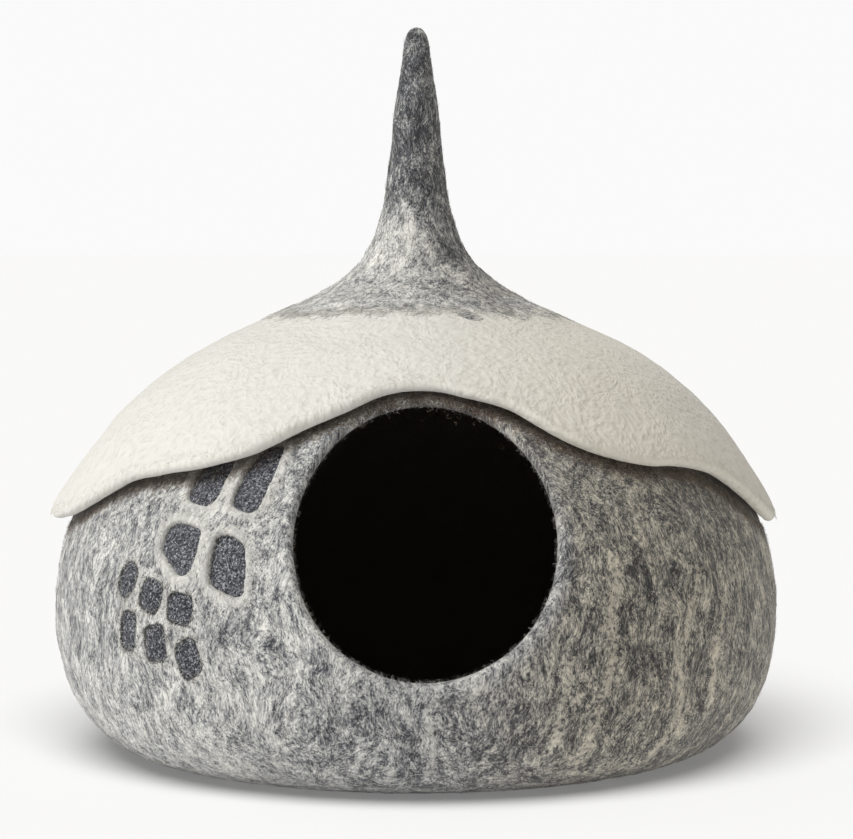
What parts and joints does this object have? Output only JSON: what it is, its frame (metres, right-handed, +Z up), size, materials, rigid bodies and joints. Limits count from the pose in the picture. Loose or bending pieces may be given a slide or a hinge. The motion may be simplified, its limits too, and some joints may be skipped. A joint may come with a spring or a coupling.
{
  "type": "felt cat cave",
  "caption": "Hollow ball of wool felt for a cat to lie in, with a flat base, a round mouth, a felt skirt as its roof, a tall pointed spire and dark window inlays.",
  "frame": {"origin": "on the floor, under the middle of the flat base", "axes": "+Z up along the spire; the mouth looks along -Y; +X is on the right of someone who faces the mouth"},
  "size_m": [0.502, 0.5016, 0.498],
  "materials": {
    "grey_wool_felt": "matte mottled grey wool felt, darker up the spire",
    "cream_wool_felt": "matte cream wool felt with soft lumps",
    "charcoal_wool_felt": "matte charcoal wool felt"
  },
  "bodies": {
    "root": {"cave_body": "grey_wool_felt", "roof_skirt": "cream_wool_felt", "window_pane_1": "charcoal_wool_felt", "window_pane_2": "charcoal_wool_felt", "window_pane_3": "charcoal_wool_felt", "window_pane_4": "charcoal_wool_felt", "pebble_1": "charcoal_wool_felt", "pebble_2": "charcoal_wool_felt", "pebble_3": "charcoal_wool_felt", "pebble_4": "charcoal_wool_felt", "pebble_5": "charcoal_wool_felt", "pebble_6": "charcoal_wool_felt"}
  },
  "joints": []
}
